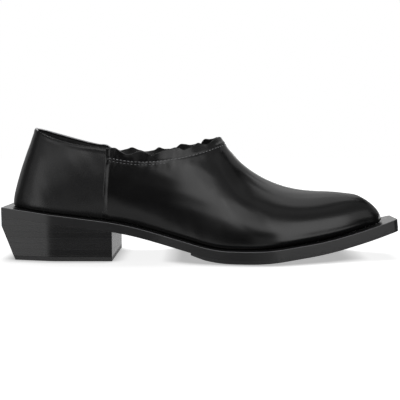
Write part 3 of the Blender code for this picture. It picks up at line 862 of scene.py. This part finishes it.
# %% [markdown]
# ## From a sheet to a wall
# The sheet of points becomes faces, and Solidify gives the leather its thickness inwards. A vertex group
# thins it where a shoemaker skives it: at the cut edge, at the seam and at the turned foot. A narrow Bevel
# takes the sharp corners off the rim, because no leather edge is a knife.

# %% Wall maker
RIM_ANGLE = 50          # edges that turn by more degrees than this are rounded


def add_modifier(piece, name, kind, **settings):
    modifier = piece.modifiers.new(name, kind)
    for setting, value in settings.items():
        setattr(modifier, setting, value)


def plain(piece):
    """Bakes a piece's modifiers into a plain mesh."""
    made = bpy.data.meshes.new_from_object(piece.evaluated_get(bpy.context.evaluated_depsgraph_get()))
    made.name = piece.name
    piece.modifiers.clear()
    piece.data = made
    piece.data.calc_loop_triangles()
    print(piece.name, len(made.loop_triangles), "triangles")
    return piece


def numbered(sheet):
    return np.arange(sheet.shape[0] * sheet.shape[1]).reshape(sheet.shape[:2])


def solid_sheet(name, sheet, ids, thickness, bevel, segments, *materials):
    """A closed wall from a sheet of points; ids says which points are one and the same."""
    kept, places = np.unique(ids, return_inverse=True)
    places = places.reshape(ids.shape)
    quads = np.stack([places[:-1, :-1], places[1:, :-1], places[1:, 1:], places[:-1, 1:]], axis=-1)
    piece = new_mesh(name, sheet.reshape(-1, 3)[kept] * MM, faces=quads.reshape(-1, 4).tolist())
    piece.data.shade_smooth()
    for material in materials:
        piece.data.materials.append(leathers[material])
    group = piece.vertex_groups.new(name="skived")
    wall = thickness.max()
    for vertex, share in enumerate((thickness.reshape(-1)[kept] / wall).tolist()):
        group.add([vertex], share, "REPLACE")
    add_modifier(
        piece, "wall", "SOLIDIFY", thickness=wall * MM, offset=-1, use_even_offset=True,
        use_quality_normals=True, vertex_group=group.name, material_offset=1, material_offset_rim=2,
    )
    add_modifier(
        piece, "rim", "BEVEL", width=bevel * MM, segments=segments, limit_method="ANGLE",
        angle_limit=math.radians(RIM_ANGLE), material=2,
    )
    return plain(piece)


def dress(piece, slot, *nodes):
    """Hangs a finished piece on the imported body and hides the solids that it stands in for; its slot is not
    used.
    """
    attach(piece, BODY)
    if nodes:
        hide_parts(*nodes)


print("rims are rounded where they turn by more than", RIM_ANGLE, "degrees")

# %% [markdown]
# ## Vamp
# Both sides meet on the ridge in front of the throat, so their top points become one there. The leather
# thins towards the cut edge of the frill, towards the seam, where it lies on the quarter, and where its
# foot turns in.

# %% Make the vamp
VAMP_WALL = 1.5
CUT_EDGE = 0.9          # thickness at the cut edge of the frill
SEAM_SKIVE = 0.6        # thickness at the seam
SEAM_FEATHER = 0.4      # how much thinner its very edge is
THINNEST = 0.15
TUCK_SKIVE = 0.9        # share of the turned-in depth that is taken off the thickness
VAMP_RIM = 0.2, 2       # rounding of the rim, and its steps

vamp_ids = numbered(vamp)
for section in np.where(vamp_places >= ROW["throat"])[0]:
    mirror = len(vamp) - 1 - section
    vamp[section, -1] = (vamp[section, -1] + vamp[mirror, -1]) / 2
    vamp_ids[mirror, -1] = vamp_ids[section, -1]
at_edge = CUT_EDGE + (VAMP_WALL - CUT_EDGE) * from_collar / STITCH_DEPTH
at_seam = SEAM_SKIVE + (VAMP_WALL - SEAM_SKIVE) * fade(from_seam, "skiving by the seam")
skived = np.minimum(np.minimum(VAMP_WALL, at_edge), at_seam) - tuck * TUCK_SKIVE
skived = np.maximum(skived - SEAM_FEATHER * fade(from_seam, "thinnest by the seam"), THINNEST)
vamp_leathers = "polished_calf", "lining_leather", "cut_leather"
vamp_piece = solid_sheet("vamp", vamp, vamp_ids, skived, *VAMP_RIM, *vamp_leathers)
dress(vamp_piece, "upper_leather", "upper")

# %% [markdown]
# ## The soft back
# The quarter wraps the heel from seam to seam. It sits under the vamp by the thickness of a skived edge and
# runs on under the lap, as a sewn seam does. Its top is a folded edge, so the wall is thicker there and the
# rim is round, coloured pale grey as a painted highlight. The inner end of that edge dips under the vamp.

# %% Make the quarter
QUARTER_WALL = 1.7
QUARTER_STEP = 0.8      # how far the quarter lies under the vamp's outer face
QUARTER_TUCK = 0.8      # how far its foot turns in
QUARTER_CREASES = 0.016     # slope of its soft waves
QUARTER_RIM = 0.7, 4    # rounding of the rim, and its steps
LAP = 0.2               # how far it runs on under the vamp, in rows of the table
EDGE_FOLD = 0.3, 1.6, 1.3       # the folded edge stands out: push, distance below the rim, half width
EDGE_WALL = 0.3, 3.0    # and it is thicker: by how much, and over which width
INNER_EDGE = np.array([
    # from the inner lap's end, up
    (0.0, -2.0), (4.3, -2.0), (7.0, -1.3), (9.5, 0.0), (12.0, 0.6), (16.0, 0.15), (20.0, 0.0), (24.0, 0.0),
])
INNER_REACH = 9.0       # how far below the rim the dip reaches


def round_heel(sides):
    """Both sides as one run, from the inner seam round the heel to the outer seam."""
    return np.concatenate([sides[1][:0:-1], sides[0]])


heel_places = places_between("heel_back", "seam", QUARTER_DENSITY)
heel_places = np.concatenate([heel_places, ROW["seam"] + np.linspace(0, LAP, 9)[1:]])
quarter, quarter_depth = (round_heel(sides) for sides in wall_points(heel_places))
quarter_height = quarter_depth[:, [0]] - quarter_depth
quarter_tuck = QUARTER_TUCK * np.clip(1 - quarter_height / TUCK[1], 0, 1) ** 2
rim_run = run_of(quarter[:, -1])
dip = spline(INNER_EDGE[:, 0], INNER_EDGE[:, 1:], rim_run)[:, 0]
dip = np.where(rim_run < INNER_EDGE[-1, 0], dip, 0.0)
quarter[..., 2] += dip[:, None] * np.clip(1 - quarter_depth / INNER_REACH, 0, 1) ** FOLD_FALL
swell = undulation(quarter, 8, QUARTER_CREASES) + EDGE_FOLD[0] * bump(quarter_depth, *EDGE_FOLD[1:])
quarter = quarter + normals(quarter) * (swell - QUARTER_STEP - quarter_tuck)[..., None]
thicker = EDGE_WALL[0] * bump(quarter_depth, 0.0, EDGE_WALL[1])
quarter_wall = QUARTER_WALL + thicker - quarter_tuck * TUCK_SKIVE
quarter_leathers = "soft_nappa", "lining_leather", "quarter_rim_highlight"
quarter_ids = numbered(quarter)
quarter_piece = solid_sheet("quarter", quarter, quarter_ids, quarter_wall, *QUARTER_RIM, *quarter_leathers)
dress(quarter_piece, "upper_leather", "upper")

# %% [markdown]
# ## Plates for the sole and the heel
# Every layer under the foot is a plate between two surfaces. It has one station after another along the
# shoe, each with four corners. Lofting them in code keeps the true outline. A Bevel with a weight for each
# edge rounds the top edge while the joints between layers stay tight, and it can give the rounded rim a
# material of its own: on the leather sole a paler one, a painted highlight.

# %% Plates
STATIONS = 180
TIP = 98.5, 16          # where the stations draw closer together towards the toe tip, and how many there are
TIGHT = 0.02            # gap between layers that are cemented
TOP_BEVEL = 0.7
JOINT_BEVEL = 0.05
RIM_FACING = 0.2        # rounded faces that look less upwards than this keep the finish of the side


def outline(x, column):
    """Distance of the sole's edge from the centre line, on the lateral (1) or medial (2) side."""
    return across(eased(x, OUTLINE, column))


def below_sole_top(x, depth):
    """X and Z of points below the sole's top: a little forward where the toe climbs, else straight down."""
    step = 0.1
    angle = np.arctan(np.maximum((sole_top(x + step) - sole_top(x - step)) / (2 * step), 0))
    fall = depth / np.cos(angle) * (1 - TOE_CUT * np.sin(angle) ** 2)
    return x + TOE_CUT * depth * np.sin(angle), sole_top(x) - fall


def plate(name, stations, top_bevel, bottom_bevel, material, highlit_rim=None):
    """A closed plate through stations of top x, top z, bottom x, bottom z, lateral y and medial y."""
    top_x, top_z, low_x, low_z, lateral, medial = np.array(stations).T
    top, low = (top_x, top_z), (low_x, low_z)
    ring = (top, -lateral), (top, medial), (low, medial), (low, -lateral)
    points = np.stack([np.column_stack([x, y, z]) for (x, z), y in ring], axis=1).reshape(-1, 3)
    last = 4 * (len(stations) - 1)
    faces = [(0, 1, 2, 3), (last + 3, last + 2, last + 1, last)]
    for first in range(0, last, 4):
        for side in range(4):
            turn = (side + 1) % 4
            faces.append((first + side, first + 4 + side, first + 4 + turn, first + turn))
    piece = new_mesh(name, points * MM, faces=faces)
    piece.data.shade_smooth()
    piece.data.materials.append(material)
    piece.data.materials.append(highlit_rim or material)
    weights = piece.data.attributes.new("bevel_weight_edge", "FLOAT", "EDGE")
    widest = max(top_bevel, bottom_bevel)
    for edge in piece.data.edges:
        a, b = sorted(edge.vertices)
        at_end = a // 4 == b // 4 and (a < 4 or a >= last)
        if at_end or b - a == 4:
            on_top = a % 4 < 2 and b % 4 < 2
            weights.data[edge.index].value = (top_bevel if on_top else bottom_bevel) / widest
    add_modifier(
        piece, "edges", "BEVEL", width=widest * MM, segments=3, limit_method="WEIGHT",
        harden_normals=True, material=1,
    )
    for face in plain(piece).data.polygons:
        if face.normal.z < RIM_FACING:
            face.material_index = 0
    return piece


def sole_places(first):
    """Places of a layer's stations along the shoe, from its back edge to the toe tip, closer at the tip."""
    tip, count = TIP
    return along(np.concatenate([np.linspace(first, tip, STATIONS), np.linspace(tip, 100, count)[1:]]))


def sole_layer(x, top_depth, bottom_depth):
    """Stations of a layer of the sole between two depths below its top face."""
    edges = outline(x, 1), outline(x, 2)
    return np.column_stack([*below_sole_top(x, top_depth), *below_sole_top(x, bottom_depth), *edges])


print(f"outline at the ball: {outline(along(64), 1):.1f} mm from the centre line")

# %% [markdown]
# ## Sole finishes
# The leather sole's edge is dyed black, burnished and waxed, with the faint lines of its fibres running
# along it. Its upper rim is coloured paler, as a painted highlight. The heel is built from leather lifts, so
# its side shows their joints as fine level lines, each lift in its own shade. The rubber is dull, with a
# speckle of moulding.

# %% Sole materials
SHINE_LINES = 0.08      # how much the fibres change the roughness
LIFT_HEIGHT = 0.0042    # one leather lift of the heel, in metres
JOINT_SHARE = 0.12      # share of a lift's height that its dark joint takes up


def burnished(name, dark, light, rough, layer=None):
    """Waxed leather edge; layer is the height of one lift in metres, or None for a single layer."""
    material, shader, tree = new_material(name)
    place = tree.node("ShaderNodeTexCoord", output=OBJECT)
    stretched = tree.node("ShaderNodeMapping", None, {"Vector": place, "Scale": (0.05, 0.05, 1.0)})
    fibres = height = noise(stretched, 1400.0, 4.0)
    tone = fibres * 0.5 + noise(place, 60.0, 3.0) * 0.5
    if layer:
        level = tree.node("ShaderNodeSeparateXYZ", None, {"Vector": place}, output=2) / layer
        part = {"Value": level.math("FRACT", level), "From Max": JOINT_SHARE}
        joint = 1.0 - tree.node("ShaderNodeMapRange", {"interpolation_type": "SMOOTHSTEP"}, part)
        number = level.math("FLOOR", level)
        lift = tree.node("ShaderNodeTexWhiteNoise", {"noise_dimensions": "1D"}, {"W": number})
        tone = tone * 0.6 + lift * 0.4 - joint * 0.4
        height = fibres - joint * 0.8
    shine = fibres * SHINE_LINES + (rough - SHINE_LINES / 2)
    fill(shader, base_color=between(tone, dark, light), roughness=shine)
    fill(shader, normal=pressed(height, 0.35, 0.00006))
    return material


def rubber(name, dark, light, rough):
    material, shader, tree = new_material(name)
    place = tree.node("ShaderNodeTexCoord", output=OBJECT)
    cloud, speckle = noise(place, 80.0, 3.0), noise(place, 2600.0, 2.0)
    fill(shader, base_color=between(cloud, dark, light), roughness=speckle * 0.15 + (rough - 0.07))
    fill(shader, normal=pressed(speckle, 0.4, 0.00005))
    return material


sole_edge = burnished("burnished_sole_edge", 0.006, 0.010, 0.30)
heel_stack = burnished("stacked_heel_lifts", 0.003, 0.010, 0.27, LIFT_HEIGHT)
# pale grey rim: a painted highlight on the sole's rounded top edge
sole_rim_highlight = burnished("sole_rim_painted_highlight", 0.08, 0.12, 0.40)
sole_rubber = rubber("half_sole_rubber", 0.007, 0.011, 0.34)
lift_rubber = rubber("heel_lift_rubber", 0.009, 0.014, 0.55)
print("sole finishes:", sole_edge.name, heel_stack.name, sole_rubber.name, lift_rubber.name)

# %% [markdown]
# ## Sole
# The leather sole runs from the heel to the toe tip. A rubber half sole is cemented under the forefoot, and
# its back edge is pared thin so that it does not catch. It is made thinner by the height of its studs,
# which come last.

# %% Make the sole
TREAD = 0.4             # height of the studs that stand on the floor
HALF_SOLE_EDGE = 0.35   # rounding of the half sole's lower edge


def half_sole_depth(x):
    """Depth of the half sole's underside, without its studs: its back edge is pared thin."""
    pared = (HALF_SOLE - PARED_EDGE) * np.clip(1 - (x - along(HALF_SOLE_BACK)) / PARED_LENGTH, 0, 1)
    return SOLE_DEPTH - TREAD - pared


leather_layer = sole_layer(sole_places(0), 0, OUTSOLE)
leather_sole = plate("leather_sole", leather_layer, TOP_BEVEL, JOINT_BEVEL, sole_edge, sole_rim_highlight)
dress(leather_sole, "sole_leather", "outsole")
half_places = sole_places(HALF_SOLE_BACK)
half_layer = sole_layer(half_places, OUTSOLE + TIGHT, half_sole_depth(half_places))
half_piece = plate("rubber_half_sole", half_layer, JOINT_BEVEL, HALF_SOLE_EDGE, sole_rubber)
dress(half_piece, "sole_rubber", "half_sole")

# %% [markdown]
# ## Heel
# The heel is a block with a short upright lip at the back, a slope below it and an upright breast in front.
# A thin rubber top piece takes the wear. The block is one loft from back to breast, whose first station is
# the lip.

# %% Make the heel
HEEL_EDGE = 0.2         # rounding of the block's lower edge
LIFT_EDGE = 0.25        # rounding of the rubber's lower edge


def heel_back(z):
    """X of the heel's back face: upright above the lip's foot, sloping in below it."""
    return along(0) + HEEL_UNDERCUT * max(0.0, 1 - z / HEEL_LIP)


block = []
for x in np.concatenate([[along(0)], np.linspace(heel_back(HEEL_LIFT), along(BREAST), STATIONS // 2)]):
    bottom = HEEL_LIP if x <= along(0) else HEEL_LIFT + TIGHT
    block.append((x, sole_top(x) - OUTSOLE - TIGHT, x, bottom, outline(x, 1), outline(x, 2)))
heel_piece = plate("stacked_heel", block, JOINT_BEVEL, HEEL_EDGE, heel_stack)
dress(heel_piece, "heel_stack", "heel_block")

lift = []
for part in np.linspace(0, 1, STATIONS // 2):
    top_x, low_x = (heel_back(z) + part * (along(BREAST) - heel_back(z)) for z in (HEEL_LIFT, 0))
    lift.append((top_x, HEEL_LIFT, low_x, 0.0, outline(top_x, 1), outline(top_x, 2)))
lift_piece = plate("rubber_heel_lift", lift, JOINT_BEVEL, LIFT_EDGE, lift_rubber)
dress(lift_piece, "heel_rubber", "heel_lift")

# %% [markdown]
# ## Sock
# A thin sock covers the inside of the sole. It follows the sole's top and stays clear of the wall by a
# little more than the wall's own thickness.

# %% Make the sock
INSOLE = 2.0
SOCK_INSET = 3.2
SOCK_BEVELS = 0.6, 0.1
BLUNT = 0.5             # half the width at the sock's two ends

sock_edges = []
sock_places = places_between("heel_back", "toe_tip", 2)
for side in (0, 1):
    feet = through(rib_rows(side)[0], [0, 1], sock_places)
    sock_edges.append(feet[:, :2] - SOCK_INSET * unit(feet[:, 2:4]))
sock_x = (sock_edges[0][:, 0] + sock_edges[1][:, 0]) / 2
sock_low = sole_top(sock_x) + GAP
sock_widths = np.maximum(-sock_edges[0][:, 1], BLUNT), np.maximum(sock_edges[1][:, 1], BLUNT)
sock_rows = np.column_stack([sock_x, sock_low + INSOLE, sock_x, sock_low, *sock_widths])
sock_piece = plate("sock", sock_rows, *SOCK_BEVELS, leathers["sock_leather"])
dress(sock_piece, "sock_leather", "insole")

# %% [markdown]
# ## A tree that lays things on a surface
# Stitches and studs repeat, so Geometry Nodes lays them. A tree gets points, each with the surface's
# outward direction as a named attribute, some sizes and a material. It ends with one small thing on every
# point, made real and dyed. The first and the last steps are the same for both, so they are written once.


# %% Start, end and run of a tree
def new_maker(name, *sizes):
    """A tree with its inputs and output, the method that adds a node to it, and its inputs by name."""
    tree = bpy.data.node_groups.new(name, "GeometryNodeTree")
    tree.interface.new_socket("Geometry", in_out="OUTPUT", socket_type="NodeSocketGeometry")
    for socket in ("Geometry", *sizes, "Material"):
        kind = "Float" if socket in sizes else socket
        tree.interface.new_socket(socket, in_out="INPUT", socket_type="NodeSocket" + kind)
    start = tree.nodes.new("NodeGroupInput")
    return tree, Sock(tree).node, {socket.name: Sock(tree, socket) for socket in start.outputs if socket.name}


def outward(add):
    return add("GeometryNodeInputNamedAttribute", {"data_type": "FLOAT_VECTOR"}, {"Name": "lean"})


def lay(add, points, thing, rotation, material):
    """Last steps of a tree: a thing on every point, made real, dyed and handed out."""
    where = {"Points": points, "Instance": thing, "Rotation": rotation}
    laid = add("GeometryNodeInstanceOnPoints", None, where)
    real = add("GeometryNodeRealizeInstances", None, {"Geometry": laid})
    dyed = add("GeometryNodeSetMaterial", None, {"Geometry": real, "Material": material})
    add("NodeGroupOutput", None, {"Geometry": dyed})


def grow(name, tree, points, leans, edges=(), **values):
    """Runs a tree on points in millimetres and bakes the result into a plain mesh."""
    piece = new_mesh(name, np.array(points) * MM, edges)
    attribute = piece.data.attributes.new("lean", "FLOAT_VECTOR", "POINT")
    attribute.data.foreach_set("vector", np.array(leans, np.float32).ravel())
    maker = piece.modifiers.new("maker", "NODES")
    maker.node_group = tree
    for item in tree.interface.items_tree:
        if item.in_out == "INPUT" and item.name in values:
            maker[item.identifier] = values[item.name]
    return plain(piece)


print("shared steps:", new_maker.__name__, lay.__name__, grow.__name__)

# %% [markdown]
# ## Stitches
# One thread is a small arch that dives into the leather at both ends. The path is cut into steps of one
# pitch, and each step gets an arch turned along the path and upright on the leather. The sizes are inputs
# of the tree, so the same tree sews every row.

# %% Stitch maker
DIVE = 0.6              # depth of a thread's ends, as a share of its arch
PEAK = 1.6              # height of the middle control point, as a share of its arch
ARCH_STEPS = 6
THREAD_SIDES = 6


def stitch_maker():
    tree, add, given = new_maker("stitch_row", "Pitch", "Length", "Thickness", "Arch")
    line = add("GeometryNodeMeshToCurve", None, {"Mesh": given["Geometry"]})
    steps = add("GeometryNodeResampleCurve", {"mode": "LENGTH"}, {"Curve": line, "Length": given["Pitch"]})
    corners = {"Resolution": ARCH_STEPS}
    for name, way, height in (("Start", -0.5, -DIVE), ("Middle", 0.0, PEAK), ("End", 0.5, -DIVE)):
        corner = {"X": given["Length"] * way, "Z": given["Arch"] * height}
        corners[name] = add("ShaderNodeCombineXYZ", None, corner)
    arch = add("GeometryNodeCurveQuadraticBezier", None, corners)
    round_size = {"Resolution": THREAD_SIDES, "Radius": given["Thickness"] * 0.5}
    ring = add("GeometryNodeCurvePrimitiveCircle", None, round_size)
    thread = add("GeometryNodeCurveToMesh", None, {"Curve": arch, "Profile Curve": ring, "Fill Caps": True})
    smooth = add("GeometryNodeSetShadeSmooth", None, {"Geometry": thread})
    tangent = add("GeometryNodeInputTangent")
    turned = add("FunctionNodeAlignRotationToVector", {"axis": "X"}, {"Vector": tangent})
    stood = {"Rotation": turned, "Vector": outward(add)}
    upright = add("FunctionNodeAlignRotationToVector", {"axis": "Z", "pivot_axis": "X"}, stood)
    lay(add, steps, smooth, upright, given["Material"])
    return tree


stitch_tree = stitch_maker()
print("stitch tree:", len(stitch_tree.nodes), "nodes")

# %% [markdown]
# ## Sewing
# A row of stitches follows the collar at a fixed distance below its edge. Its path is found on the finished
# vamp, so the thread lies on the folds. A thinner second row holds the lower edge of the elastic near the
# side seams.

# %% Sew the collar
PITCH = 2.6
STITCH = 1.4
ARCH = 0.3
THREAD = 0.5
THIN_THREAD = 0.34
PATH_GAP = 6.0          # points of a path that are further apart belong to different rows
SEAM_CLEAR = 3.5        # the rows start this far from the side seams
ALL_ROUND = 1000.0
ELASTIC_REACH = 46.0    # how far from the side seams the second row runs


def at_distance(distance, reach):
    """Path on the vamp at a distance below the collar: points and the leather's outward direction there."""
    points, leans = [], []
    for section in range(len(vamp)):
        away = from_collar[section, ::-1]
        if away[0] > distance or not SEAM_CLEAR <= from_seam[section, 0] <= reach:
            continue
        row = np.argmax(away >= distance)
        part = (distance - away[row - 1]) / (away[row] - away[row - 1])
        for found, sheet in ((points, vamp), (leans, vamp_out)):
            line = sheet[section, ::-1]
            found.append(line[row - 1] + part * (line[row] - line[row - 1]))
    return np.array(points), np.array(leans)


def sew(name, distance, reach, thread, material):
    """A row of stitches below the collar, as one plain mesh."""
    path, leans = at_distance(distance, reach)
    steps = np.linalg.norm(np.diff(path, axis=0), axis=1)
    edges = [(k, k + 1) for k in np.where(steps < PATH_GAP)[0].tolist()]
    sizes = {"Pitch": PITCH * MM, "Length": STITCH * MM, "Thickness": thread * MM, "Arch": ARCH * MM}
    row = grow(name, stitch_tree, path, leans, edges, **sizes, Material=material)
    dress(row, "upper_leather")


thread_black, thread_shader, thread_tree = new_material("waxed_thread")
twist = noise(thread_tree.node("ShaderNodeTexCoord", output=OBJECT), 3000.0, 2.0)
fill(thread_shader, base_color=between(twist, 0.09, 0.14), roughness=twist * 0.2 + 0.28)
sew("collar_stitches", STITCH_DEPTH, ALL_ROUND, THREAD, thread_black)
sew("elastic_stitches", SECOND_ROW, ELASTIC_REACH, THIN_THREAD, thread_black)

# %% [markdown]
# ## Tread
# The rubber under the forefoot carries low six-sided studs, so that only they meet the floor. A staggered
# net of points is laid on the half sole's underside, inside its edge, and a second small tree puts one stud
# on each point, turned square to the surface.

# %% Tread
STUD = 4.2              # width of a stud across its corners
STUD_SIDES = 6
STUD_PITCH = 5.6
STUD_MARGIN = 6.0
STUD_SEAT = 0.48        # below half of a stud's height, so that it is sunk a little into the rubber
NET_HALF = 60.0         # half the width of the net before it is cut to the sole


def stud_maker():
    tree, add, given = new_maker("stud_net", "Width", "Height")
    sizes = {"Vertices": STUD_SIDES, "Radius": given["Width"] * 0.5, "Depth": given["Height"]}
    stud = add("GeometryNodeMeshCylinder", None, sizes)
    upright = add("FunctionNodeAlignRotationToVector", {"axis": "Z"}, {"Vector": outward(add)})
    lay(add, given["Geometry"], stud, upright, given["Material"])
    return tree


net, net_leans = [], []
first, last = along(HALF_SOLE_BACK) + STUD_MARGIN, along(100) - STUD_MARGIN
for row, x in enumerate(np.arange(first, last, STUD_PITCH * math.sin(math.radians(60)))):
    left, right = outline(x, 1) - STUD_MARGIN, outline(x, 2) - STUD_MARGIN
    centre_x, centre_z = below_sole_top(x, half_sole_depth(x) + TREAD * STUD_SEAT)
    for y in np.arange(-NET_HALF, NET_HALF, STUD_PITCH) + STUD_PITCH / 2 * (row % 2):
        if -left <= y <= right:
            net.append((centre_x, y, centre_z))
            net_leans.append((sole_top(x + 1) - sole_top(x - 1), 0.0, -2.0))
tread = grow("tread", stud_maker(), net, net_leans, Width=STUD * MM, Height=TREAD * MM, Material=sole_rubber)
dress(tread, "sole_rubber", "half_sole")

# %% [markdown]
# ## Sizes
# The finished pieces may stand a little proud of the solids, and no more. Both boxes are written down for
# comparison.

# %% Compare the boxes and finish
visual_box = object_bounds()
for name, (low, high) in (("solids", cad_box), ("pieces", visual_box)):
    print(name, [round(v, 4) for v in high - low])
